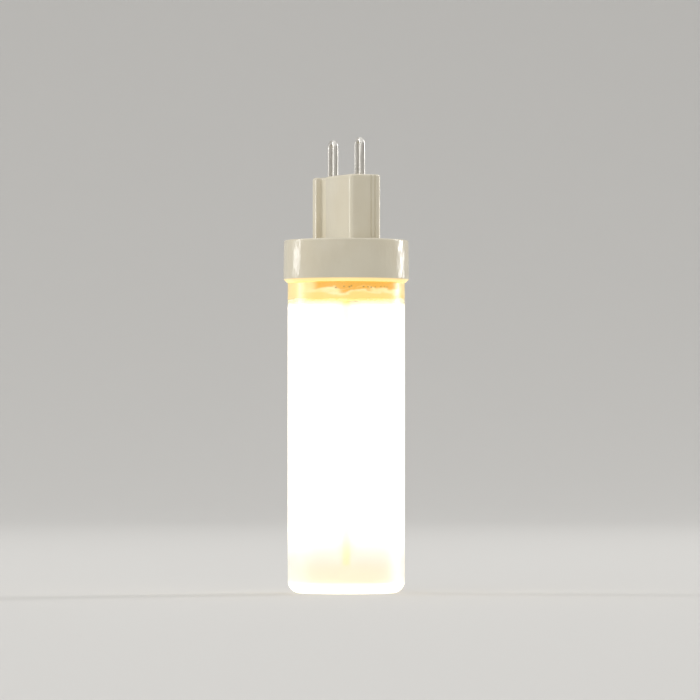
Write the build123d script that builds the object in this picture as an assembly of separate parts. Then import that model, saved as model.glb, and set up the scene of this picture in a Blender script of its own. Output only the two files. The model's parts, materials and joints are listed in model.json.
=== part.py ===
from build123d import *
import os
from math import cos, radians, sin, tan

# Sizes are in millimetres. The capsule stands on the flat end of its cover, with its
# contact loops up. X runs along the blade and the origin is the middle of the end face.

# Frosted cover, a glass tube closed at one end
cover_diameter = 17.3
cover_length = 45.8
cover_wall = 1.2
cover_end_wall = 1.4
cover_corner_round = 1.8
cover_inner_chamfer = 0.4

# Collar of the ceramic base
collar_overhang = 0.65
collar_height = 6.3
collar_draft = 0.8
collar_lower_chamfer = 0.55
collar_upper_chamfer = 0.25
roof_thickness = 1.4

# Spigot of the base, which the cover is glued on
spigot_length = 3.0
spigot_wall = 1.0
spigot_chamfer = 0.3
glue_gap = 0.2
glue_set_back = 0.4
ledge_width = 0.45

# Blade of the base, which slides into the lamp holder
blade_thickness = 5.0
blade_height = 9.5
blade_end_wall = 1.0
blade_corner_round = 0.7
blade_tip_chamfer = 0.4
rib_width = 1.7
channel_width = 3.2
channel_depth = 0.8
flute_width = 0.25
flute_depth = 0.2
flute_insets = (1.1, 1.75)

# Contact loops, each a wire bent to a hairpin
pin_spacing = 9.0
wire_diameter = 0.8
leg_spacing = 1.7
loop_height = 5.6
short_leg_depth = 4.0
bore_clearance = 0.05
leg_past_board = 0.5

# Driver board, a round plate in the mouth of the spigot
driver_board_thickness = 1.0
driver_board_clearance = 0.1

# Board that carries the light-emitting diodes, standing edge up below the driver board
led_board_thickness = 1.0
led_board_edge_gap = 0.95
led_board_end_gap = 2.8
board_turn = -26.0
tab_spacing = 4.6
tab_width = 1.6
tab_proud = 0.5
tab_clearance = 0.1

# Light-emitting diodes, the same on both faces of their board
led_length = 3.5
led_width = 2.8
led_height = 0.8
led_pitch = 4.1
led_column_spacing = 6.0
led_end_margin = 1.0
phosphor_rim = 0.3
phosphor_depth = 0.4

# Solder joints
solder_spread = 0.25
solder_height = 0.4
contact_solder_radius = 0.8
contact_solder_height = 0.6

# Bridge rectifier on the driver board
rectifier_length = 2.6
rectifier_width = 3.8
rectifier_height = 1.3
rectifier_span = 4.8
rectifier_lead_count = 2
rectifier_lead_pitch = 1.6
rectifier_lead_width = 0.5
rectifier_place = (-0.9, 2.6)

# Driver chip
driver_chip_length = 2.9
driver_chip_width = 1.6
driver_chip_height = 1.1
driver_chip_span = 2.8
driver_chip_lead_count = 3
driver_chip_lead_pitch = 0.95
driver_chip_lead_width = 0.4
driver_chip_place = (0.8, -2.6)

# Leads and stand-off that the rectifier and the chip share
lead_thickness = 0.15
lead_foot = 0.3
stand_off = 0.1
mould_chamfer = 0.15

# Filter capacitor, fuse and sense resistors, small chips with metal end caps
capacitor_length = 2.0
capacitor_width = 1.25
capacitor_height = 1.2
capacitor_place = (-1.9, -3.1)
resistor_length = 1.6
resistor_width = 0.8
resistor_height = 0.5
fuse_place = (2.7, 2.9)
sense_resistor_places = [(3.9, -1.2), (2.9, -2.7)]
end_cap_length = 0.3
end_cap_proud = 0.03

# Radii from the cover inwards
cover_radius = cover_diameter / 2
cover_bore_radius = cover_radius - cover_wall
spigot_radius = cover_bore_radius - glue_gap
seat_radius = spigot_radius - spigot_wall
pocket_radius = seat_radius - ledge_width
collar_radius = cover_radius + collar_overhang
collar_top_radius = collar_radius - collar_height * tan(radians(collar_draft))

# Heights from the end face up
collar_bottom = cover_length
collar_top = collar_bottom + collar_height
spigot_end = collar_bottom - spigot_length
ledge = spigot_end + driver_board_thickness
pocket_roof = collar_top - roof_thickness
blade_tip = collar_top + blade_height
led_board_bottom = cover_end_wall + led_board_end_gap

# Window of a diode, which its phosphor fills
led_window = (led_length - 2 * phosphor_rim, led_width - 2 * phosphor_rim)

# Places of the wire legs along the blade
wire_radius = wire_diameter / 2
bore_radius = wire_radius + bore_clearance
long_leg_x = pin_spacing / 2 - leg_spacing / 2
short_leg_x = pin_spacing / 2 + leg_spacing / 2
short_leg_end = blade_tip - short_leg_depth
long_leg_end = spigot_end - leg_past_board
blade_width = 2 * (short_leg_x + bore_radius + blade_end_wall)

# Everything on the two boards is laid out square and then turned into place. A chip lies
# along the led board or, a quarter turn round, across it
along, across = 0, 90
turned = Rot(0, 0, board_turn)
long_leg_places = [
    (side * long_leg_x * cos(radians(board_turn)), -side * long_leg_x * sin(radians(board_turn)))
    for side in (1, -1)
]
tab_places = [(side * tab_spacing / 2, 0) for side in (1, -1)]

# What stands on a level, and what hangs or is sunk below one
stand_align = (Align.CENTER, Align.CENTER, Align.MIN)
bore_align = (Align.CENTER, Align.CENTER, Align.MAX)


def corner(sketch, x, y):
    """The vertex of a sketch that lies at a place."""
    return sketch.vertices().sort_by_distance((x, y, 0))[0]


def frosted_cover():
    with BuildPart() as cover:
        with BuildSketch(Plane.XZ) as wall:
            with BuildLine():
                Polyline(
                    (0, 0),
                    (cover_radius, 0),
                    (cover_radius, cover_length),
                    (cover_bore_radius, cover_length),
                    (cover_bore_radius, cover_end_wall),
                    (0, cover_end_wall),
                    close=True,
                )
            make_face()
            fillet(corner(wall, cover_radius, 0), cover_corner_round)
            chamfer(corner(wall, cover_bore_radius, cover_end_wall), cover_inner_chamfer)
        revolve(axis=Axis.Z)
    return cover.part


def ceramic_base():
    with BuildPart() as base:
        # Collar, spigot and driver pocket in one turned profile
        with BuildSketch(Plane.XZ) as profile:
            with BuildLine():
                Polyline(
                    (seat_radius, spigot_end),
                    (spigot_radius, spigot_end),
                    (spigot_radius, collar_bottom),
                    (collar_radius, collar_bottom),
                    (collar_top_radius, collar_top),
                    (0, collar_top),
                    (0, pocket_roof),
                    (pocket_radius, pocket_roof),
                    (pocket_radius, ledge),
                    (seat_radius, ledge),
                    close=True,
                )
            make_face()
            chamfer(corner(profile, spigot_radius, spigot_end), spigot_chamfer)
            chamfer(corner(profile, collar_radius, collar_bottom), collar_lower_chamfer)
            chamfer(corner(profile, collar_top_radius, collar_top), collar_upper_chamfer)
        revolve(axis=Axis.Z)

        # Blade, the same turned half round: a channel in each wide face, beside the rib at one
        # end, and two flutes down each narrow face
        with BuildSketch(Plane.XY.offset(collar_top)):
            RectangleRounded(blade_width, blade_thickness, blade_corner_round)
            channel_x = blade_width / 2 - rib_width - channel_width / 2
            for side in (1, -1):
                with Locations((side * channel_x, side * blade_thickness / 2)):
                    Rectangle(channel_width, 2 * channel_depth, mode=Mode.SUBTRACT)
        extrude(amount=blade_height)
        chamfer(base.faces().sort_by(Axis.Z)[-1].edges(), blade_tip_chamfer)
        with BuildSketch(Plane.XY.offset(collar_top)):
            for side in (1, -1):
                for inset in flute_insets:
                    with Locations((side * blade_width / 2, side * (blade_thickness / 2 - inset))):
                        Rectangle(2 * flute_depth, flute_width)
        extrude(amount=blade_height, mode=Mode.SUBTRACT)

        # Bores for the wire legs: the long legs go through to the driver pocket
        for side in (1, -1):
            with Locations((side * long_leg_x, 0, blade_tip)):
                long_bore = blade_tip - pocket_roof
                Cylinder(bore_radius, long_bore, align=bore_align, mode=Mode.SUBTRACT)
            with Locations((side * short_leg_x, 0, blade_tip)):
                short_bore = short_leg_depth + bore_clearance
                Cylinder(bore_radius, short_bore, align=bore_align, mode=Mode.SUBTRACT)
    return base.part


def contact_loop(side):
    """A hairpin of wire: a short blind leg outside, a long leg to the driver board inside."""
    bend_radius = leg_spacing / 2
    bend_height = blade_tip + loop_height - wire_radius - bend_radius
    short_x = side * short_leg_x
    long_x = side * long_leg_x
    with BuildPart() as loop:
        with BuildLine():
            Line((short_x, 0, short_leg_end), (short_x, 0, bend_height))
            ThreePointArc(
                (short_x, 0, bend_height),
                (side * pin_spacing / 2, 0, bend_height + bend_radius),
                (long_x, 0, bend_height),
            )
            Line((long_x, 0, bend_height), (long_x, 0, long_leg_end))
        with BuildSketch(Plane.XY.offset(short_leg_end)):
            with Locations((short_x, 0)):
                Circle(wire_radius)
        sweep()
    return loop.part


def cover_adhesive():
    """The ring of glue between the spigot and the cover."""
    with BuildPart() as glue:
        with BuildSketch(Plane.XY.offset(collar_bottom)):
            Circle(cover_bore_radius)
            Circle(spigot_radius, mode=Mode.SUBTRACT)
        extrude(amount=-(spigot_length - glue_set_back))
    return glue.part


def driver_board():
    with BuildPart() as board:
        with BuildSketch(Plane.XY.offset(spigot_end)):
            Circle(seat_radius - driver_board_clearance)
            with Locations(*tab_places):
                Rectangle(
                    tab_width + 2 * tab_clearance,
                    led_board_thickness + 2 * tab_clearance,
                    mode=Mode.SUBTRACT,
                )
            with Locations(*long_leg_places):
                Circle(bore_radius, mode=Mode.SUBTRACT)
        extrude(amount=driver_board_thickness)
    return turned * board.part


def led_board():
    """The upright plate, with two tabs that pass through the driver board."""
    tab_top = ledge + tab_proud
    with BuildPart() as board:
        with BuildSketch(Plane.XZ):
            with Locations((0, led_board_bottom)):
                Rectangle(
                    2 * (cover_bore_radius - led_board_edge_gap),
                    spigot_end - led_board_bottom,
                    align=(Align.CENTER, Align.MIN),
                )
            with Locations(*[(u, spigot_end) for u, v in tab_places]):
                Rectangle(tab_width, tab_top - spigot_end, align=(Align.CENTER, Align.MIN))
        extrude(amount=led_board_thickness / 2, both=True)
    return turned * board.part


def led_places():
    """Columns across the led board and rows up it, centred on its height."""
    room = spigot_end - led_board_bottom - 2 * led_end_margin - led_width
    rows = int(room / led_pitch) + 1
    middle = (led_board_bottom + spigot_end) / 2
    return [
        (column * led_column_spacing / 2, middle + (row - (rows - 1) / 2) * led_pitch)
        for row in range(rows)
        for column in (-1, 1)
    ]


def face_plane(side):
    """The plane of the led board's front face, or of its back face."""
    face_y = -side * led_board_thickness / 2
    return Plane(origin=(0, face_y, 0), x_dir=(side, 0, 0), z_dir=(0, -side, 0))


def led_bodies(side):
    """Moulded bodies, each with a dished window for its phosphor."""
    with BuildPart() as leds:
        with BuildSketch(face_plane(side)):
            with Locations(*led_places()):
                Rectangle(led_length, led_width)
        extrude(amount=led_height)
        with BuildSketch(face_plane(side).offset(led_height)):
            with Locations(*led_places()):
                Rectangle(*led_window)
        extrude(amount=-phosphor_depth, mode=Mode.SUBTRACT)
    return turned * leds.part


def phosphors(side):
    """The yellow fill of the windows."""
    with BuildPart() as fill:
        with BuildSketch(face_plane(side).offset(led_height)):
            with Locations(*led_places()):
                Rectangle(*led_window)
        extrude(amount=-phosphor_depth)
    return turned * fill.part


def leaded_chip(length, width, height, span, leads, lead_pitch, lead_width):
    """A moulded body with a row of bent leads along each of its two long sides."""
    lead_level = stand_off + height / 2
    shoulder = width / 2 + (span - width) / 2 - lead_foot
    with BuildPart() as chip:
        with Locations((0, 0, stand_off)):
            Box(length, width, height, align=stand_align)
        chamfer(chip.edges().group_by(Axis.Z)[-1], mould_chamfer)
        with BuildSketch(Plane.YZ):
            with BuildLine():
                Polyline(
                    (0, lead_level),
                    (shoulder, lead_level),
                    (shoulder, lead_thickness),
                    (span / 2, lead_thickness),
                    (span / 2, 0),
                    (shoulder - lead_thickness, 0),
                    (shoulder - lead_thickness, lead_level - lead_thickness),
                    (0, lead_level - lead_thickness),
                    close=True,
                )
            make_face()
            mirror(about=Plane.YZ)
        lead_strip = extrude(amount=lead_width / 2, both=True, mode=Mode.PRIVATE)
        for row in range(leads):
            add(Pos((row - (leads - 1) / 2) * lead_pitch, 0, 0) * lead_strip)
    return chip.part


def end_capped_chip(length, width, height):
    """A plain block with a metal cap on each end."""
    with BuildPart() as chip:
        Box(length - 2 * end_cap_length, width, height, align=stand_align)
        with Locations(((length - end_cap_length) / 2, 0, 0), (-(length - end_cap_length) / 2, 0, 0)):
            Box(end_cap_length, width + 2 * end_cap_proud, height + end_cap_proud, align=stand_align)
    return chip.part


def on_driver_board(chip, place, turn):
    """A chip set on the pocket side of the driver board."""
    u, v = place
    return turned * Pos(u, v, ledge) * Rot(0, 0, turn) * chip


def bridge_rectifier():
    chip = leaded_chip(
        rectifier_length,
        rectifier_width,
        rectifier_height,
        rectifier_span,
        rectifier_lead_count,
        rectifier_lead_pitch,
        rectifier_lead_width,
    )
    return on_driver_board(chip, rectifier_place, across)


def driver_chip():
    chip = leaded_chip(
        driver_chip_length,
        driver_chip_width,
        driver_chip_height,
        driver_chip_span,
        driver_chip_lead_count,
        driver_chip_lead_pitch,
        driver_chip_lead_width,
    )
    return on_driver_board(chip, driver_chip_place, along)


def filter_capacitor():
    chip = end_capped_chip(capacitor_length, capacitor_width, capacitor_height)
    return on_driver_board(chip, capacitor_place, across)


def chip_fuse():
    chip = end_capped_chip(resistor_length, resistor_width, resistor_height)
    return on_driver_board(chip, fuse_place, along)


def sense_resistors():
    chip = end_capped_chip(resistor_length, resistor_width, resistor_height)
    return Compound([on_driver_board(chip, place, across) for place in sense_resistor_places])


def board_solder():
    """A tapered fillet round each tab, on the pocket side of the driver board."""
    foot = (tab_width + 2 * solder_spread, led_board_thickness + 2 * solder_spread)
    head = (tab_width + solder_spread, led_board_thickness + solder_spread)
    with BuildPart() as solder:
        for place in tab_places:
            with BuildSketch(Plane.XY.offset(ledge)):
                with Locations(place):
                    Rectangle(*foot)
            with BuildSketch(Plane.XY.offset(ledge + solder_height)):
                with Locations(place):
                    Rectangle(*head)
            loft()
            with Locations((*place, ledge)):
                Box(tab_width, led_board_thickness, solder_height, align=stand_align, mode=Mode.SUBTRACT)
    return turned * solder.part


def contact_solder():
    """A cone of solder under the driver board that thins out along each long leg."""
    with BuildPart() as solder:
        for place in long_leg_places:
            with Locations((*place, spigot_end)):
                Cone(wire_radius, contact_solder_radius, contact_solder_height, align=bore_align)
                Cylinder(wire_radius, contact_solder_height, align=bore_align, mode=Mode.SUBTRACT)
    return turned * solder.part


pieces = {
    "frosted_cover": frosted_cover(),
    "ceramic_base": ceramic_base(),
    "contact_loop_left": contact_loop(-1),
    "contact_loop_right": contact_loop(1),
    "cover_adhesive": cover_adhesive(),
    "driver_board": driver_board(),
    "led_board": led_board(),
    "leds_front": led_bodies(1),
    "leds_back": led_bodies(-1),
    "phosphor_front": phosphors(1),
    "phosphor_back": phosphors(-1),
    "bridge_rectifier": bridge_rectifier(),
    "driver_chip": driver_chip(),
    "filter_capacitor": filter_capacitor(),
    "chip_fuse": chip_fuse(),
    "sense_resistors": sense_resistors(),
    "board_solder": board_solder(),
    "contact_solder": contact_solder(),
}

os.makedirs("parts", exist_ok=True)
for name, shape in pieces.items():
    export_step(shape, f"parts/{name}.step")
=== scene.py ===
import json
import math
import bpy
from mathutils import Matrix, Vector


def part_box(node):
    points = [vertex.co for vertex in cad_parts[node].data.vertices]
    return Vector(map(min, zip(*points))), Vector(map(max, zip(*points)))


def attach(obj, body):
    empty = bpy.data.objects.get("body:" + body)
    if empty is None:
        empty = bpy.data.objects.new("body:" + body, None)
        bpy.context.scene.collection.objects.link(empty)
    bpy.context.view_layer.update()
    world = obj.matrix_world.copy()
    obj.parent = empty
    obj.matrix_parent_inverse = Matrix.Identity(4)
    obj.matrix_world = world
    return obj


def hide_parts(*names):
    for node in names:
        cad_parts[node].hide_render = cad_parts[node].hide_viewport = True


bl_info = {
    "name": "Capsule bulb",
    "version": (1, 0, 0),
    "blender": (4, 5, 0),
    "location": "View3D > Sidebar > Capsule bulb",
    "description": "Glass, ceramic, wire and glue of a lit bi-pin capsule bulb on its CAD frame",
    "category": "Object",
}

import bmesh
import bpy
from bpy.props import FloatProperty, FloatVectorProperty, PointerProperty
from bpy.types import NodeSocket, Operator, Panel, PropertyGroup

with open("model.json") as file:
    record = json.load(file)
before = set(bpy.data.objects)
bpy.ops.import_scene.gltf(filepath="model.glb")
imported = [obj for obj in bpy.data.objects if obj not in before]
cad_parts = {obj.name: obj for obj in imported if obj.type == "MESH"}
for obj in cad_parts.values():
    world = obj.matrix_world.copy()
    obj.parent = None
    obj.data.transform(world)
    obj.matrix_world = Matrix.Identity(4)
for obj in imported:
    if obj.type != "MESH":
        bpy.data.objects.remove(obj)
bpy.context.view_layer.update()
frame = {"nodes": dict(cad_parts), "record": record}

# Places that the CAD fixes, in metres
cover_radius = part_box("frosted_cover")[1].x
cover_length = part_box("frosted_cover")[1].z
glue_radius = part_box("cover_adhesive")[1].x
glue_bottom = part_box("cover_adhesive")[0].z
spigot_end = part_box("ceramic_base")[0].z
blade_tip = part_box("ceramic_base")[1].z
board_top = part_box("driver_board")[1].z
loop_low, loop_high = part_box("contact_loop_right")
collar_top = next(m["pos_m"][2] for m in frame["record"]["mounts"] if m["name"] == "holder_seat")

# Sides of a full round, and how near a place must be to count as there
ROUND = 128
NEAR = 1e-6

# The diode board stands turned by this angle, and the camera looks straight at its edge
BOARD_TURN = math.radians(26)
VIEW = math.pi / 2 - BOARD_TURN

# Places that the materials follow, in millimetres
MM = 1000.0
BOARD_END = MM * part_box("led_board")[0].z
SPIGOT_END = MM * spigot_end
GLUE_FOOT = MM * glue_bottom
GLUE_RADIUS = MM * glue_radius
COLLAR_FOOT = MM * cover_length
COLLAR_TOP = MM * collar_top

# Plain values that both faces of the glass share
GLASS = {"Transmission_Weight": 0.9, "IOR": 1.5}


def length(name, description, default):
    return FloatProperty(
        name=name, description=description, default=default, min=0.0, unit="LENGTH", subtype="DISTANCE"
    )


def colour(name, description, default):
    return FloatVectorProperty(
        name=name,
        description=description,
        default=(*default, 1.0),
        size=4,
        min=0.0,
        max=1.0,
        subtype="COLOR",
    )


class CapsuleSizes(PropertyGroup):
    """Sizes that the pieces are modelled to."""

    cover_end_wall: length("End wall", "Thickness of the glass at the closed end", 0.0014)
    cover_corner: length("End corner", "Round between the closed end and the side of the glass", 0.0018)
    cover_lip: length("Lip", "Round of the fire-polished mouth of the glass", 0.0003)
    collar_radius: length("Collar radius", "Radius of the collar at its lower edge", 0.0093)
    collar_top_radius: length("Collar top radius", "Radius of the collar at its top", 0.009212)
    collar_chamfer: length("Collar chamfer", "Flat on the lower edge of the collar", 0.00055)
    collar_edge: length("Collar edge", "Round on the upper edge of the collar", 0.00025)
    glaze_round: length("Glaze round", "Soft round that the glaze leaves on an edge", 0.0001)
    spigot_radius: length("Spigot radius", "Radius of the spigot inside the glass", 0.00725)
    spigot_chamfer: length("Spigot chamfer", "Flat on the end of the spigot", 0.0003)
    seat_radius: length("Seat radius", "Radius of the seat of the driver board", 0.00625)
    pocket_radius: length("Pocket radius", "Radius of the driver pocket", 0.0058)
    roof: length("Roof", "Ceramic above the driver pocket", 0.0014)
    blade_width: length("Blade width", "Width of the blade", 0.0136)
    blade_thickness: length("Blade thickness", "Thickness of the blade", 0.005)
    blade_corner: length("Blade corner", "Round on the upright edges of the blade", 0.0007)
    blade_edge: length("Blade edge", "Round on the tip of the blade", 0.0004)
    rib_width: length("Rib width", "Width of the rib between a channel and the end of the blade", 0.0017)
    channel_width: length("Channel width", "Width of the channel in each wide face of the blade", 0.0032)
    channel_depth: length("Channel depth", "Depth of the channels", 0.0008)
    channel_round: length("Channel round", "Round on the edges of the channels", 0.00015)
    flute_radius: length("Flute radius", "Radius of the flutes down each narrow face of the blade", 0.00016)
    flute_inset: length("Flute inset", "Distance from the edge of a narrow face to its first flute", 0.0011)
    flute_pitch: length("Flute pitch", "Distance between the flutes", 0.00065)
    root_round: length("Root round", "Round where the blade meets the collar", 0.00012)
    pin_spacing: length("Pin spacing", "Distance between the contact loops", 0.009)
    leg_spacing: length("Leg spacing", "Distance between the legs of a loop", 0.0017)
    wire_radius: length("Wire radius", "Radius of the contact wire", 0.0004)
    bore_clearance: length("Bore clearance", "Room round a wire in its bore", 0.00005)
    short_leg: length("Short leg", "Depth of the blind leg of a loop in the blade", 0.004)
    glue_gap: length("Glue gap", "Gap from glue to spigot, and above the lip of the glass", 0.00002)
    glue_bite: length("Glue bite", "How far the glue goes into the etched face of the glass", 0.00004)
    glue_run: length("Glue run", "How far the edge of the glue wanders", 0.0005)


class CapsuleColours(PropertyGroup):
    """Colours of the materials, and of the light that they give."""

    glass: colour("Glass", "Tint of the frosted glass", (1.0, 0.98, 0.94))
    glow: colour("Glow", "Light of the glass along the diodes", (1.0, 0.95, 0.86))
    # The next colour paints a warm shade into the etched glass below the diodes
    end_shade_tint: colour("End glass", "Tint of the etched glass near its closed end", (1.0, 0.92, 0.7))
    # The next colour paints the warm light of the glue into the glass over it
    over_glue_light_tint: colour("Glued glass", "Tint of the glass over the glue", (1.0, 0.9, 0.55))
    glued_glow: colour("Glued glow", "Light of the glass over the glue", (1.0, 0.86, 0.36))
    ivory: colour("Ivory", "Glaze of the base", (0.72, 0.67, 0.54))
    ivory_warm: colour("Warm ivory", "Glaze of the base where it is thin", (0.69, 0.63, 0.49))
    rim_glow: colour("Rim glow", "Light soaked up by the lower edge of the base", (1.0, 0.66, 0.06))
    nickel: colour("Nickel", "Plating of the contact wire", (0.6, 0.58, 0.54))
    silicone: colour("Silicone", "Glue between spigot and glass", (0.2, 0.11, 0.01))
    glue_cream: colour("Cream glue", "Light of thick clouded glue", (0.92, 0.81, 0.58))
    glue_pale: colour("Pale glue", "Light of the glue away from the gap in it", (0.9, 0.72, 0.4))
    glue_yellow: colour("Yellow glue", "Light of thin glue", (0.84, 0.63, 0.24))
    glue_orange: colour("Orange glue", "Light where glue is missing", (0.72, 0.32, 0.0))
    glue_bubble: colour("Glue bubbles", "Light of the bubbles in a row along the glue", (0.06, 0.02, 0.0))
    board: colour("Board", "White solder mask", (0.84, 0.84, 0.8))
    board_edge: colour("Board edge", "Glass fibre at the edges of the diode board", (0.95, 0.78, 0.36))
    board_glow: colour("Board glow", "Light soaked up by the fibre at those edges", (1.0, 0.73, 0.26))
    led_body: colour("Diode body", "White moulding of the diodes", (0.86, 0.85, 0.82))
    phosphor: colour("Phosphor", "Yellow fill of the diodes", (0.95, 0.68, 0.16))
    phosphor_light: colour("Diode light", "Light of the diodes", (1.0, 0.87, 0.66))
    chip: colour("Chip", "Black moulding", (0.02, 0.02, 0.023))
    capacitor: colour("Capacitor", "Fired tan ceramic", (0.4, 0.26, 0.15))
    resistor: colour("Resistor", "Dark coat of the small chips", (0.05, 0.05, 0.055))
    solder: colour("Solder", "Bright tin", (0.68, 0.69, 0.7))
    floor: colour("Floor", "Floor and backdrop", (0.6, 0.59, 0.57))


# Modelling steps that the pieces share


def begin(name, add, **options):
    """Adds a primitive as the start of a piece, its place held in the mesh, and goes into edit mode."""
    bpy.ops.object.select_all(action="DESELECT")
    add(**options)
    piece = bpy.context.object
    piece.name = name
    bpy.ops.object.transform_apply(location=True, rotation=True, scale=True)
    bpy.ops.object.mode_set(mode="EDIT")
    return piece


def pick(kind, wanted):
    """Selects, in edit mode, the vertices, edges or faces that are wanted, and nothing else."""
    bpy.ops.mesh.select_mode(type=kind)
    bpy.ops.mesh.select_all(action="DESELECT")
    mesh = bmesh.from_edit_mesh(bpy.context.object.data)
    items = {"VERT": mesh.verts, "EDGE": mesh.edges, "FACE": mesh.faces}[kind]
    chosen = [item for item in items if wanted(item)]
    if not chosen:
        raise RuntimeError(f"nothing to select on {bpy.context.object.name}")
    for item in chosen:
        item.select_set(True)
    mesh.select_flush_mode()
    bmesh.update_edit_mesh(bpy.context.object.data)


def off_axis(vertex):
    return math.hypot(vertex.co.x, vertex.co.y)


def level(height):
    """A test for edges that lie at a height."""
    return lambda edge: all(abs(v.co.z - height) < NEAR for v in edge.verts)


def ring(height, radius):
    """A test for the edges of a circle round the axis."""
    return lambda edge: level(height)(edge) and all(abs(off_axis(v) - radius) < NEAR for v in edge.verts)


def faces_up(face):
    return face.normal.z > 0.5


def faces_down(face):
    return face.normal.z < -0.5


def bevel(size, steps):
    bpy.ops.mesh.bevel(offset=size, segments=steps, profile=0.5, affect="EDGES", clamp_overlap=True)


def push(x=0.0, y=0.0, z=0.0):
    bpy.ops.mesh.extrude_region_move(TRANSFORM_OT_translate={"value": (x, y, z)})


def end_edit():
    bpy.ops.mesh.select_mode(type="VERT")
    bpy.ops.mesh.select_all(action="SELECT")
    bpy.ops.mesh.normals_make_consistent(inside=False)
    bpy.ops.object.mode_set(mode="OBJECT")


def make_active(piece):
    bpy.ops.object.select_all(action="DESELECT")
    piece.select_set(True)
    bpy.context.view_layer.objects.active = piece


def modify(piece, kind, **settings):
    """Adds a modifier to a piece and applies it."""
    make_active(piece)
    bpy.ops.object.modifier_add(type=kind)
    modifier = piece.modifiers[-1]
    for name, value in settings.items():
        setattr(modifier, name, value)
    bpy.ops.object.modifier_apply(modifier=modifier.name)


def combine(piece, other, operation):
    """Joins another solid to a piece, or cuts it away, and removes the other."""
    modify(piece, "BOOLEAN", operation=operation, object=other, solver="EXACT")
    bpy.data.objects.remove(other)


def deliver(piece, node, slot, *materials):
    """Shades a piece, dresses it, and puts it in the place of its CAD node."""
    make_active(piece)
    bpy.ops.object.shade_smooth_by_angle(angle=math.radians(35))
    for material in materials:
        piece.data.materials.append(material)
    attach(piece, "root")
    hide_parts(node)


# Shading steps that the materials share

VECTOR = "NodeSocketVector"
VALUE = "NodeSocketFloat"


def add(tree, kind, inputs=None, **settings):
    """Adds a node. Its inputs take values, or the outputs that feed them."""
    node = tree.nodes.new(kind)
    for name, value in settings.items():
        setattr(node, name, value)
    for key, value in (inputs or {}).items():
        if isinstance(value, NodeSocket):
            tree.links.new(value, node.inputs[key])
        else:
            node.inputs[key].default_value = value
    return node


def maths(tree, operation, first, second=0.0):
    return add(tree, "ShaderNodeMath", {0: first, 1: second}, operation=operation).outputs[0]


def both(tree, first, second):
    """A mask of where two masks meet."""
    return maths(tree, "MULTIPLY", first, second)


def apart(tree, value, middle):
    """How far a value is from a middle one."""
    return maths(tree, "ABSOLUTE", maths(tree, "SUBTRACT", value, middle))


def blend(tree, factor, first, second):
    return add(tree, "ShaderNodeMix", {0: factor, 6: first, 7: second}, data_type="RGBA").outputs[2]


def ramp(tree, value, start, end, low=0.0, high=1.0):
    """A smooth step from low to high, as a value goes from start to end."""
    inputs = {"Value": value, "From Min": start, "From Max": end, "To Min": low, "To Max": high}
    return add(tree, "ShaderNodeMapRange", inputs, interpolation_type="SMOOTHSTEP").outputs[0]


def stretch(tree, point, x, y, z):
    """A point with its coordinates multiplied: a pattern is drawn out where one is small."""
    return add(tree, "ShaderNodeVectorMath", {0: point, 1: (x, y, z)}, operation="MULTIPLY").outputs[0]


def shine(tree, tint, strength):
    """A tint of light at a strength."""
    return add(tree, "ShaderNodeVectorMath", {0: tint, "Scale": strength}, operation="SCALE").outputs[0]


def new_group(name, inputs, outputs):
    """An empty node group with float or vector sockets, and its input and output nodes."""
    group = bpy.data.node_groups.new(name, "ShaderNodeTree")
    for socket, kind in inputs.items():
        group.interface.new_socket(socket, in_out="INPUT", socket_type=kind)
    for socket, kind in outputs.items():
        group.interface.new_socket(socket, in_out="OUTPUT", socket_type=kind)
    return group, group.nodes.new("NodeGroupInput").outputs, group.nodes.new("NodeGroupOutput").inputs


def place_group():
    """Where a point is, in millimetres, and its height."""
    group, _, out = new_group("Place", {}, {"Point": VECTOR, "Height": VALUE})
    point = group.nodes.new("ShaderNodeTexCoord").outputs["Object"]
    scaled = stretch(group, point, MM, MM, MM)
    group.links.new(scaled, out["Point"])
    group.links.new(add(group, "ShaderNodeSeparateXYZ", {0: scaled}).outputs["Z"], out["Height"])
    return group


def noise(group, given, detail):
    """Noise at the point and the scale that a group is given."""
    inputs = {"Vector": given["Point"], "Scale": given["Scale"], "Detail": detail}
    return add(group, "ShaderNodeTexNoise", inputs).outputs[0]


def mottle_group():
    """Soft clouds between two values."""
    inputs = {"Point": VECTOR, "Scale": VALUE, "Low": VALUE, "High": VALUE}
    group, given, out = new_group("Mottle", inputs, {"Value": VALUE})
    clouds = ramp(group, noise(group, given, detail=3.0), 0.3, 0.7, given["Low"], given["High"])
    group.links.new(clouds, out["Value"])
    return group


def grain_group():
    """A fine bump, with its normal."""
    inputs = {"Point": VECTOR, "Scale": VALUE, "Depth": VALUE}
    group, given, out = new_group("Grain", inputs, {"Normal": VECTOR})
    relief = {"Strength": 1.0, "Distance": given["Depth"], "Height": noise(group, given, detail=2.0)}
    group.links.new(add(group, "ShaderNodeBump", relief).outputs[0], out["Normal"])
    return group


GROUPS = {"Place": place_group, "Mottle": mottle_group, "Grain": grain_group}


def use(tree, name, **inputs):
    """Adds a shared group to a material, made the first time that it is asked for."""
    group = bpy.data.node_groups.get(name) or GROUPS[name]()
    return add(tree, "ShaderNodeGroup", inputs, node_tree=group).outputs


def mottle(tree, point, scale, low, high):
    return use(tree, "Mottle", Point=point, Scale=scale, Low=low, High=high)["Value"]


def grain(tree, point, scale, depth):
    return use(tree, "Grain", Point=point, Scale=scale, Depth=depth)["Normal"]


def board_axes(tree, point):
    """How far a point lies from the bulb's axis along the diode board, and out of its plane."""
    inputs = {"Vector": point, "Rotation": (0.0, 0.0, BOARD_TURN)}
    turned = add(tree, "ShaderNodeMapping", inputs).outputs[0]
    along, out, _ = add(tree, "ShaderNodeSeparateXYZ", {0: turned}).outputs
    return along, out


def new_material(name, **plain):
    """A material with plain values on its shader. Gives it, its node tree and its shader's inputs."""
    made = bpy.data.materials.new(name)
    made.use_nodes = True
    shader = made.node_tree.nodes["Principled BSDF"].inputs
    for key, value in plain.items():
        shader[key.replace("_", " ")].default_value = value
    return made, made.node_tree, shader


# Materials. Their heights and distances are in millimetres


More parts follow.
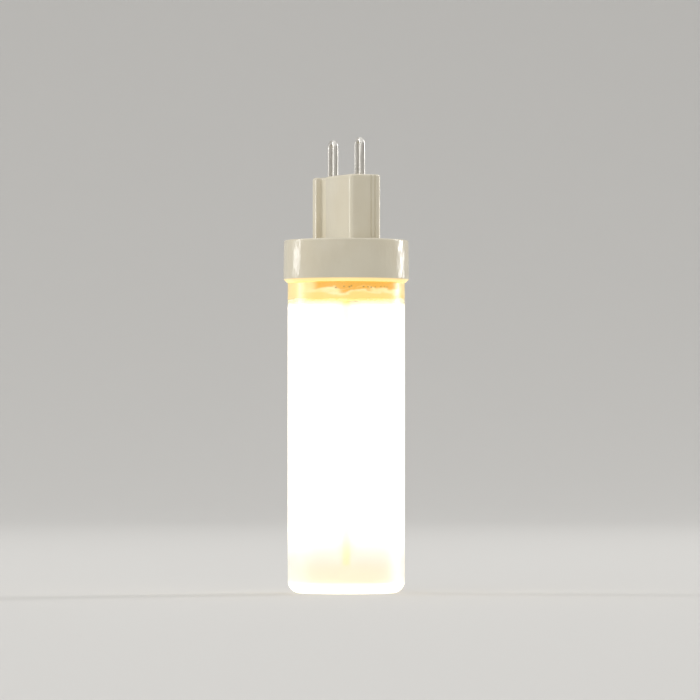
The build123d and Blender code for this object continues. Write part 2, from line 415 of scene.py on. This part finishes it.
def glass_material(colours, end_wall):
    """Frosted glass that glows, weaker between its end and the diodes, and warm over the glue."""
    made, tree, shader = new_material("frosted glass", Emission_Strength=1.0, **GLASS)
    point, height = use(tree, "Place")
    at_end = ramp(tree, height, end_wall + 0.6, end_wall - 0.4)
    along_diodes = ramp(tree, height, BOARD_END - 0.6, BOARD_END + 6.8)
    below_glue = ramp(tree, height, SPIGOT_END + 0.2, SPIGOT_END - 1.0)
    # Painted warm light: the glass over the glue takes a warm tint for the light of the glue
    tree.links.new(blend(tree, below_glue, colours.over_glue_light_tint, colours.glass), shader["Base Color"])

    # The glue wets the frost, and clears it
    cleared = 0.27
    frost = mottle(tree, point, scale=0.5, low=0.36, high=0.44)
    tree.links.new(ramp(tree, below_glue, 0.0, 1.0, cleared, frost), shader["Roughness"])

    glued_light, weak_light, full_light = 0.1, 0.17, 0.57
    full = both(tree, maths(tree, "MAXIMUM", at_end, along_diodes), below_glue)
    least = ramp(tree, below_glue, 0.0, 1.0, glued_light, weak_light)
    strength = ramp(tree, full, 0.0, 1.0, least, full_light)
    tint = blend(tree, below_glue, colours.glued_glow, colours.glow)
    tree.links.new(shine(tree, tint, strength), shader["Emission Color"])
    return made


def inner_glass_material(colours):
    """The etched inside of the glass, with a painted warm shade below the diodes."""
    made, tree, shader = new_material("etched glass", **GLASS)
    point, height = use(tree, "Place")
    along_diodes = ramp(tree, height, BOARD_END - 0.9, BOARD_END + 1.2)
    # Painted shade: a warm tint where less light of the diodes reaches, below their board
    tree.links.new(blend(tree, along_diodes, colours.end_shade_tint, colours.glass), shader["Base Color"])
    tree.links.new(mottle(tree, point, scale=0.7, low=0.24, high=0.3), shader["Roughness"])
    return made


def ceramic_material(colours):
    """Ivory glaze with an orange-peel surface on ceramic whose lower edge and spigot soak up light."""
    made, tree, shader = new_material("ivory ceramic", Emission_Strength=1.0)
    point, height = use(tree, "Place")
    clouds = mottle(tree, point, scale=0.15, low=0.0, high=1.0)
    tree.links.new(blend(tree, clouds, colours.ivory, colours.ivory_warm), shader["Base Color"])
    tree.links.new(mottle(tree, point, scale=1.2, low=0.1, high=0.2), shader["Roughness"])

    # The peel is deeper on the collar than on the blade. Its depths are in metres
    collar_peel, blade_peel = 6e-5, 2e-5
    peel = ramp(tree, height, COLLAR_TOP - 0.3, COLLAR_TOP, collar_peel, blade_peel)
    upright = stretch(tree, point, 1.0, 1.0, 0.45)
    tree.links.new(grain(tree, upright, scale=1.6, depth=peel), shader["Normal"])

    soaked = ramp(tree, height, COLLAR_FOOT + 0.62, COLLAR_FOOT + 0.35, 0.0, 0.64)
    tree.links.new(shine(tree, tuple(colours.rim_glow)[:3], soaked), shader["Emission Color"])
    return made


def glue_material(colours):
    """Clouded silicone, lit through: cream where thick, yellow below, orange where it is missing."""
    made, tree, shader = new_material(
        "silicone glue", Base_Color=colours.silicone, Roughness=0.5, Emission_Strength=1.0
    )
    point, height = use(tree, "Place")
    smeared = stretch(tree, point, 0.35, 0.35, 1.0)
    wander = mottle(tree, smeared, scale=1.1, low=-0.35, high=0.35)
    level_run = maths(tree, "ADD", height, wander)
    thick = ramp(tree, level_run, GLUE_FOOT + 0.5, GLUE_FOOT + 1.1)
    light = blend(tree, thick, colours.glue_yellow, colours.glue_cream)
    streaks = mottle(tree, smeared, scale=1.6, low=0.0, high=0.5)
    light = blend(tree, streaks, light, colours.glue_yellow)

    # A gap under the collar that dips in its middle, painted orange as the spigot in shade behind it, and
    # paler glue beside it
    gap_middle = 1.3
    along, out = board_axes(tree, point)
    side = apart(tree, out, gap_middle)
    under_collar = ramp(tree, level_run, COLLAR_FOOT - 1.05, COLLAR_FOOT - 0.8)
    gap = both(tree, under_collar, ramp(tree, side, 6.4, 5.0))
    dip_level = ramp(tree, apart(tree, level_run, COLLAR_FOOT - 1.2), 0.4, 0.15)
    dip = both(tree, dip_level, ramp(tree, side, 2.6, 1.6))
    light = blend(tree, maths(tree, "MAXIMUM", gap, dip), light, colours.glue_orange)
    light = blend(tree, ramp(tree, side, 5.4, 8.0), light, colours.glue_pale)

    above_row = maths(tree, "SUBTRACT", height, COLLAR_FOOT - 0.9)
    light = blend(tree, bubble_row(tree, along, out, above_row), light, colours.glue_bubble)
    tree.links.new(light, shader["Emission Color"])
    return made


def bubble_row(tree, along, out, above):
    """Small bubbles of uneven size and height along one side of the glue, some of them missing."""
    pitch = 0.55
    first_cell = 25.0
    row_start, row_end = (-1.9, -1.5), (7.4, 6.0)
    turn = maths(tree, "ARCTAN2", out, along)
    round_ring = maths(tree, "MULTIPLY", turn, GLUE_RADIUS)
    spread = maths(tree, "ADD", round_ring, first_cell * pitch)
    inputs = {"W": spread, "Scale": 1.0 / pitch}
    cells = add(tree, "ShaderNodeTexVoronoi", inputs, voronoi_dimensions="1D").outputs
    beside = maths(tree, "MULTIPLY", cells["Distance"], pitch)
    chance, lift, size = add(tree, "ShaderNodeSeparateColor", {0: cells["Color"]}).outputs
    lifted = maths(tree, "ADD", above, ramp(tree, lift, 0.0, 1.0, -0.15, 0.15))
    offset = add(tree, "ShaderNodeCombineXYZ", {"X": beside, "Y": lifted}).outputs[0]
    away = add(tree, "ShaderNodeVectorMath", {0: offset}, operation="LENGTH").outputs["Value"]
    radius = ramp(tree, size, 0.0, 1.0, 0.11, 0.18)
    kept = maths(tree, "GREATER_THAN", chance, 0.25)
    bubbles = both(tree, ramp(tree, away, radius, 0.05), kept)
    reach = both(tree, ramp(tree, round_ring, *row_start), ramp(tree, round_ring, *row_end))
    return both(tree, bubbles, reach)


def metal_material(name, colour_value, low, high):
    """Drawn wire or tin: fine lines along the height, and clouds in its shine."""
    made, tree, shader = new_material(name, Base_Color=colour_value, Metallic=1.0)
    point, _ = use(tree, "Place")
    lines = stretch(tree, point, 1.0, 1.0, 0.06)
    tree.links.new(mottle(tree, lines, scale=9.0, low=low, high=high), shader["Roughness"])
    tree.links.new(grain(tree, lines, scale=14.0, depth=3e-6), shader["Normal"])
    return made


def matt_material(name, colour_value, low, high, shade=0.85):
    """A moulded, coated or fired surface with faint clouds in its colour and shine."""
    made, tree, shader = new_material(name)
    point, _ = use(tree, "Place")
    clouds = mottle(tree, point, scale=1.1, low=0.0, high=1.0)
    clouded = (*(channel * shade for channel in tuple(colour_value)[:3]), 1.0)
    tree.links.new(blend(tree, clouds, colour_value, clouded), shader["Base Color"])
    tree.links.new(mottle(tree, point, scale=2.3, low=low, high=high), shader["Roughness"])
    return made


def edged_board_material(colours):
    """White solder mask on the faces of a board, bare glass fibre at its two long edges, both with a
    painted glow.
    """
    made, tree, shader = new_material("edged board", Emission_Strength=0.3)
    point, _ = use(tree, "Place")
    along, _ = board_axes(tree, point)

    # The board stands turned, so its width comes from both sides of its box
    low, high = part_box("led_board")
    box_x, box_y = high.x - low.x, high.y - low.y
    width = (box_x * math.cos(BOARD_TURN) - box_y * math.sin(BOARD_TURN)) / math.cos(2 * BOARD_TURN)
    border = MM * width / 2
    edge = ramp(tree, maths(tree, "ABSOLUTE", along), border - 0.1, border - 0.05)
    tree.links.new(blend(tree, edge, colours.board, colours.board_edge), shader["Base Color"])
    # Painted light: the faces glow with the light of the glass, the fibre edges with a warmer one
    tree.links.new(blend(tree, edge, colours.glow, colours.board_glow), shader["Emission Color"])
    tree.links.new(mottle(tree, point, scale=2.3, low=0.25, high=0.4), shader["Roughness"])
    return made


class CAPSULE_OT_make_cover(Operator):
    """Models the frosted glass tube with its rounded closed end."""

    bl_idname = "capsule.make_cover"
    bl_label = "Make cover"

    def execute(self, context):
        sizes = context.scene.capsule_sizes
        wall = cover_radius - glue_radius
        mouth = cover_length - sizes.glue_gap
        cover = begin(
            "cover_glass",
            bpy.ops.mesh.primitive_cylinder_add,
            vertices=ROUND,
            radius=cover_radius,
            depth=mouth,
            location=(0.0, 0.0, mouth / 2),
        )
        pick("FACE", faces_up)
        bpy.ops.mesh.delete(type="ONLY_FACE")
        pick("EDGE", level(0.0))
        bevel(sizes.cover_corner, steps=12)
        end_edit()
        modify(cover, "SOLIDIFY", thickness=wall, offset=-1.0, use_even_offset=True, use_rim=True)

        # Thicker closed end, and a lip rounded in the flame
        bpy.ops.object.mode_set(mode="EDIT")
        pick("VERT", lambda v: abs(v.co.z - wall) < NEAR and off_axis(v) < cover_radius - wall)
        bpy.ops.transform.translate(value=(0.0, 0.0, sizes.cover_end_wall - wall))
        pick("EDGE", level(mouth))
        bevel(sizes.cover_lip, steps=3)
        end_edit()

        colours = context.scene.capsule_colours
        glass = glass_material(colours, MM * sizes.cover_end_wall)
        deliver(cover, "frosted_cover", "frosted_glass", glass, inner_glass_material(colours))
        bpy.ops.object.mode_set(mode="EDIT")
        pick("FACE", lambda face: is_inside(face, wall))
        cover.active_material_index = 1
        bpy.ops.object.material_slot_assign()
        bpy.ops.object.mode_set(mode="OBJECT")
        return {"FINISHED"}


def is_inside(face, wall):
    """Whether a face of the cover looks into it."""
    middle = face.calc_center_median()
    looks_in = face.normal.x * middle.x + face.normal.y * middle.y < -NEAR
    on_end = middle.z < 3 * wall and faces_up(face)
    return looks_in or on_end


class CAPSULE_OT_make_base(Operator):
    """Models the ceramic base: collar, spigot, driver pocket, channelled blade and wire bores."""

    bl_idname = "capsule.make_base"
    bl_label = "Make base"

    def execute(self, context):
        sizes = context.scene.capsule_sizes
        base = self.turn_collar(sizes)
        combine(base, self.cut_blade(sizes), "UNION")
        make_active(base)
        bpy.ops.object.mode_set(mode="EDIT")
        in_blade = math.hypot(sizes.blade_width, sizes.blade_thickness) / 2 + NEAR
        pick("EDGE", lambda e: level(collar_top)(e) and all(off_axis(v) < in_blade for v in e.verts))
        bevel(sizes.root_round, steps=3)
        end_edit()
        self.drill(base, sizes)
        deliver(base, "ceramic_base", "ivory_ceramic", ceramic_material(context.scene.capsule_colours))
        return {"FINISHED"}

    def turn_collar(self, sizes):
        """The round part, drawn down from a plain cylinder."""
        base = begin(
            "base_ceramic",
            bpy.ops.mesh.primitive_cylinder_add,
            vertices=ROUND,
            radius=sizes.collar_radius,
            depth=collar_top - cover_length,
            location=(0.0, 0.0, (collar_top + cover_length) / 2),
        )
        pick("VERT", lambda v: abs(v.co.z - collar_top) < NEAR)
        draft = sizes.collar_top_radius / sizes.collar_radius
        bpy.ops.transform.resize(value=(draft, draft, 1.0), center_override=(0.0, 0.0, collar_top))
        pick("FACE", faces_down)
        bpy.ops.mesh.inset(thickness=sizes.collar_radius - sizes.spigot_radius)
        push(z=spigot_end - cover_length)
        bpy.ops.mesh.inset(thickness=sizes.spigot_radius - sizes.seat_radius)
        push(z=board_top - spigot_end)
        bpy.ops.mesh.inset(thickness=sizes.seat_radius - sizes.pocket_radius)
        push(z=collar_top - sizes.roof - board_top)

        # Edges: a chamfer below with the glaze pooled on both its arrises, a soft round above
        pick("EDGE", ring(spigot_end, sizes.spigot_radius))
        bevel(sizes.spigot_chamfer, steps=1)
        pick("EDGE", ring(cover_length, sizes.collar_radius))
        bevel(sizes.collar_chamfer, steps=1)
        chamfer_top = cover_length + sizes.collar_chamfer
        pick("EDGE", lambda e: self.on_chamfer(e, chamfer_top, sizes))
        bevel(sizes.glaze_round, steps=3)
        pick("EDGE", ring(collar_top, sizes.collar_top_radius))
        bevel(sizes.collar_edge, steps=4)
        end_edit()
        return base

    def on_chamfer(self, edge, chamfer_top, sizes):
        """Whether an edge runs round the top or the bottom of the lower chamfer."""
        flat = abs(edge.verts[0].co.z - edge.verts[1].co.z) < NEAR
        wide = off_axis(edge.verts[0]) > sizes.spigot_radius + sizes.collar_chamfer
        low = edge.verts[0].co.z < chamfer_top + 10 * NEAR
        return flat and wide and low

    def cut_blade(self, sizes):
        """The blade, its foot sunk in the collar so that the two join."""
        foot = collar_top - sizes.roof / 2
        blade = begin(
            "blade",
            bpy.ops.mesh.primitive_cube_add,
            size=1.0,
            location=(0.0, 0.0, (foot + blade_tip) / 2),
            scale=(sizes.blade_width, sizes.blade_thickness, blade_tip - foot),
        )
        pick("EDGE", is_upright)
        bevel(sizes.blade_corner, steps=6)
        end_edit()
        middle = sizes.blade_width / 2 - sizes.rib_width - sizes.channel_width / 2
        for side in (1, -1):
            channel = begin(
                "channel",
                bpy.ops.mesh.primitive_cube_add,
                size=1.0,
                location=(side * middle, side * sizes.blade_thickness / 2, (foot + blade_tip) / 2),
                scale=(sizes.channel_width, 2 * sizes.channel_depth, 2 * (blade_tip - foot)),
            )
            end_edit()
            combine(blade, channel, "DIFFERENCE")
        make_active(blade)
        bpy.ops.object.mode_set(mode="EDIT")
        pick("EDGE", level(blade_tip))
        bevel(sizes.blade_edge, steps=4)
        edges = (middle - sizes.channel_width / 2, middle + sizes.channel_width / 2)
        pick("EDGE", lambda e: is_upright(e) and min(abs(abs(e.verts[0].co.x) - x) for x in edges) < NEAR)
        bevel(sizes.channel_round, steps=2)
        end_edit()
        return blade

    def drill(self, base, sizes):
        """Cuts bores for the wire legs, through to the pocket or blind, and the flutes."""
        bore = sizes.wire_radius + sizes.bore_clearance
        in_pocket = collar_top - 2 * sizes.roof
        blind_end = blade_tip - sizes.short_leg - sizes.bore_clearance
        flute_foot = collar_top + 2 * sizes.root_round
        for side in (1, -1):
            for end, bottom in ((-1, in_pocket), (1, blind_end)):
                leg_x = side * (sizes.pin_spacing + end * sizes.leg_spacing) / 2
                self.cut_down(base, leg_x, 0.0, bottom, bore)
            for step in (0, 1):
                inset = sizes.flute_inset + step * sizes.flute_pitch
                flute_y = side * (sizes.blade_thickness / 2 - inset)
                self.cut_down(base, side * sizes.blade_width / 2, flute_y, flute_foot, sizes.flute_radius)

    def cut_down(self, base, x, y, bottom, radius):
        """Cuts a round hole or groove from above the blade down to a height."""
        top = blade_tip + 2 * radius
        drill = begin(
            "drill",
            bpy.ops.mesh.primitive_cylinder_add,
            vertices=24,
            radius=radius,
            depth=top - bottom,
            location=(x, y, (top + bottom) / 2),
        )
        end_edit()
        combine(base, drill, "DIFFERENCE")


def is_upright(edge):
    """Whether an edge runs straight up."""
    low, high = edge.verts
    return math.hypot(low.co.x - high.co.x, low.co.y - high.co.y) < NEAR


class CAPSULE_OT_make_contacts(Operator):
    """Models the two hairpins of contact wire."""

    bl_idname = "capsule.make_contacts"
    bl_label = "Make contacts"

    def execute(self, context):
        sizes = context.scene.capsule_sizes
        nickel = metal_material("contact nickel", context.scene.capsule_colours.nickel, low=0.24, high=0.4)
        for side, word in ((1, "right"), (-1, "left")):
            wire = self.bend_wire(f"loop_{word}", side, sizes)
            deliver(wire, f"contact_loop_{word}", "contact_nickel", nickel)
        return {"FINISHED"}

    def bend_wire(self, name, side, sizes):
        """Draws a wire up from its blind end, round the bend, and down to the driver board."""
        middle = side * sizes.pin_spacing / 2
        bend_height = loop_high.z - sizes.wire_radius - sizes.leg_spacing / 2
        start = blade_tip - sizes.short_leg
        end_round = sizes.wire_radius / 5
        wire = begin(
            name,
            bpy.ops.mesh.primitive_circle_add,
            vertices=24,
            radius=sizes.wire_radius,
            fill_type="NGON",
            location=(middle + side * sizes.leg_spacing / 2, 0.0, start),
        )
        bpy.ops.mesh.select_all(action="SELECT")
        push(z=bend_height - start)
        bpy.ops.mesh.spin(
            steps=20, angle=math.pi, center=(middle, 0.0, bend_height), axis=(0.0, side, 0.0), dupli=False
        )
        push(z=loop_low.z - bend_height)
        for end in (start, loop_low.z):
            pick("EDGE", level(end))
            bevel(end_round, steps=2)
        end_edit()
        return wire


class CAPSULE_OT_make_adhesive(Operator):
    """Models the ring of glue, its edges run unevenly."""

    bl_idname = "capsule.make_adhesive"
    bl_label = "Make adhesive"

    def execute(self, context):
        sizes = context.scene.capsule_sizes
        outer = glue_radius + sizes.glue_bite
        glue = begin(
            "glue_ring",
            bpy.ops.mesh.primitive_cylinder_add,
            vertices=192,
            radius=outer,
            depth=cover_length - glue_bottom,
            end_fill_type="NOTHING",
            location=(0.0, 0.0, (cover_length + glue_bottom) / 2),
        )
        bpy.ops.object.vertex_group_add()
        pick("VERT", lambda v: abs(v.co.z - glue_bottom) < NEAR)
        bpy.ops.object.vertex_group_assign()
        end_edit()
        runs = bpy.data.textures.new("glue runs", "CLOUDS")
        runs.noise_scale = 0.004
        modify(
            glue,
            "DISPLACE",
            texture=runs,
            texture_coords="GLOBAL",
            direction="Z",
            vertex_group=glue.vertex_groups[0].name,
            strength=sizes.glue_run,
            mid_level=0.35,
        )
        wall = outer - sizes.spigot_radius - sizes.glue_gap
        modify(glue, "SOLIDIFY", thickness=wall, offset=-1.0, use_rim=True)
        deliver(glue, "cover_adhesive", "silicone_glue", glue_material(context.scene.capsule_colours))
        return {"FINISHED"}


class CAPSULE_OT_finish_boards(Operator):
    """Gives the boards, diodes, chips and solder of the CAD their materials."""

    bl_idname = "capsule.finish_boards"
    bl_label = "Finish boards"

    def execute(self, context):
        colours = context.scene.capsule_colours
        phosphor = matt_material("phosphor", colours.phosphor, low=0.4, high=0.55)
        lit = phosphor.node_tree.nodes["Principled BSDF"].inputs
        lit["Emission Color"].default_value = colours.phosphor_light
        lit["Emission Strength"].default_value = 1.3
        board = matt_material("white board", colours.board, low=0.25, high=0.4, shade=0.93)
        body = matt_material("diode body", colours.led_body, low=0.4, high=0.55, shade=0.95)
        chip = matt_material("chip black", colours.chip, low=0.35, high=0.55, shade=1.6)
        resistor = matt_material("resistor grey", colours.resistor, low=0.3, high=0.5, shade=1.4)
        tin = metal_material("solder", colours.solder, low=0.15, high=0.35)
        tan = matt_material("capacitor tan", colours.capacitor, low=0.4, high=0.6)
        dress = {
            "driver_board": board,
            "led_board": edged_board_material(colours),
            "leds_front": body,
            "leds_back": body,
            "phosphor_front": phosphor,
            "phosphor_back": phosphor,
            "bridge_rectifier": chip,
            "driver_chip": chip,
            "filter_capacitor": tan,
            "chip_fuse": resistor,
            "sense_resistors": resistor,
            "board_solder": tin,
            "contact_solder": tin,
        }
        for node, material in dress.items():
            frame["nodes"][node].material_slots[0].material = material
        return {"FINISHED"}


class CAPSULE_OT_set_stage(Operator):
    """Sets the floor, the lights and the camera."""

    bl_idname = "capsule.set_stage"
    bl_label = "Set stage"

    def execute(self, context):
        scene = context.scene
        self.lay_floor(scene.capsule_colours.floor)
        strip = {"away": 1.2, "height": 0.45, "aim": 0.45, "size": (0.28, 0.9)}
        self.soft_box("left strip", turn=-104, power=5.6, **strip)
        self.soft_box("right strip", turn=122, power=7.3, **strip)
        self.soft_box("overhead", turn=200, power=0.8, away=0.25, height=0.85, aim=0.03, size=(0.9, 0.9))
        self.soft_box("front fill", turn=-25, power=1.7, away=0.9, height=0.55, aim=0.03, size=(0.8, 0.8))
        self.light_world(scene)
        self.place_camera(scene)
        scene.view_settings.view_transform = "Standard"
        return {"FINISHED"}

    def lay_floor(self, tint):
        """A round floor just under the bulb, swept up into a backdrop all round."""
        gap = 0.00005
        wall_height = 2.2
        sweep = 2.0
        floor = begin("floor", bpy.ops.mesh.primitive_circle_add, vertices=96, radius=3.0, fill_type="NGON")
        bpy.ops.transform.translate(value=(0.0, 0.0, -gap))
        pick("EDGE", lambda e: True)
        bpy.ops.mesh.extrude_edges_move(TRANSFORM_OT_translate={"value": (0.0, 0.0, wall_height)})
        pick("EDGE", level(-gap))
        bevel(sweep, steps=24)
        bpy.ops.object.mode_set(mode="OBJECT")
        bpy.ops.object.shade_smooth()
        paper, _, _ = new_material("backdrop", Base_Color=tint, Roughness=0.9, Specular_IOR_Level=0.1)
        floor.data.materials.append(paper)

    def soft_box(self, name, turn, power, away, height, aim, size):
        """A rectangular light, turned by degrees from the camera and aimed at a height."""
        azimuth = VIEW + math.radians(turn)
        place = (away * math.sin(azimuth), -away * math.cos(azimuth), height)
        tilt = math.atan2(away, height - aim)
        bpy.ops.object.light_add(type="AREA", location=place, rotation=(tilt, 0.0, azimuth))
        light = bpy.context.object
        light.name = name
        light.data.shape = "RECTANGLE"
        light.data.size, light.data.size_y = size
        light.data.energy = power
        light.visible_camera = False

    def light_world(self, scene):
        """Even white light from all round."""
        world = bpy.data.worlds.new("studio")
        scene.world = world
        world.use_nodes = True
        background = world.node_tree.nodes["Background"].inputs
        background["Color"].default_value = (1.0, 1.0, 1.0, 1.0)
        background["Strength"].default_value = 0.95

    def place_camera(self, scene):
        """A long lens, low down, square to the edge of the diode board."""
        away = 0.792
        height = 0.0189
        look_up = math.radians(1.229)
        look_right = math.radians(0.04)
        bpy.ops.object.camera_add(
            location=(away * math.sin(VIEW), -away * math.cos(VIEW), height),
            rotation=(math.pi / 2 + look_up, 0.0, VIEW - look_right),
        )
        camera = bpy.context.object
        camera.data.sensor_width = 36.0
        camera.data.lens = 275.7
        camera.data.clip_end = 20.0
        scene.camera = camera


class CAPSULE_PT_panel(Panel):
    """Lists the steps that build the bulb."""

    bl_label = "Capsule bulb"
    bl_space_type = "VIEW_3D"
    bl_region_type = "UI"
    bl_category = "Capsule bulb"

    def draw(self, context):
        for step in STEPS:
            self.layout.operator(step.bl_idname)


STEPS = (
    CAPSULE_OT_make_cover,
    CAPSULE_OT_make_base,
    CAPSULE_OT_make_contacts,
    CAPSULE_OT_make_adhesive,
    CAPSULE_OT_finish_boards,
    CAPSULE_OT_set_stage,
)
CLASSES = (CapsuleSizes, CapsuleColours, *STEPS, CAPSULE_PT_panel)


def register():
    for made in CLASSES:
        bpy.utils.register_class(made)
    bpy.types.Scene.capsule_sizes = PointerProperty(type=CapsuleSizes)
    bpy.types.Scene.capsule_colours = PointerProperty(type=CapsuleColours)


def unregister():
    del bpy.types.Scene.capsule_colours
    del bpy.types.Scene.capsule_sizes
    for made in reversed(CLASSES):
        bpy.utils.unregister_class(made)


def main():
    register()
    bpy.ops.capsule.make_cover()
    bpy.ops.capsule.make_base()
    bpy.ops.capsule.make_contacts()
    bpy.ops.capsule.make_adhesive()
    bpy.ops.capsule.finish_boards()
    bpy.ops.capsule.set_stage()


if __name__ == "__main__":
    main()
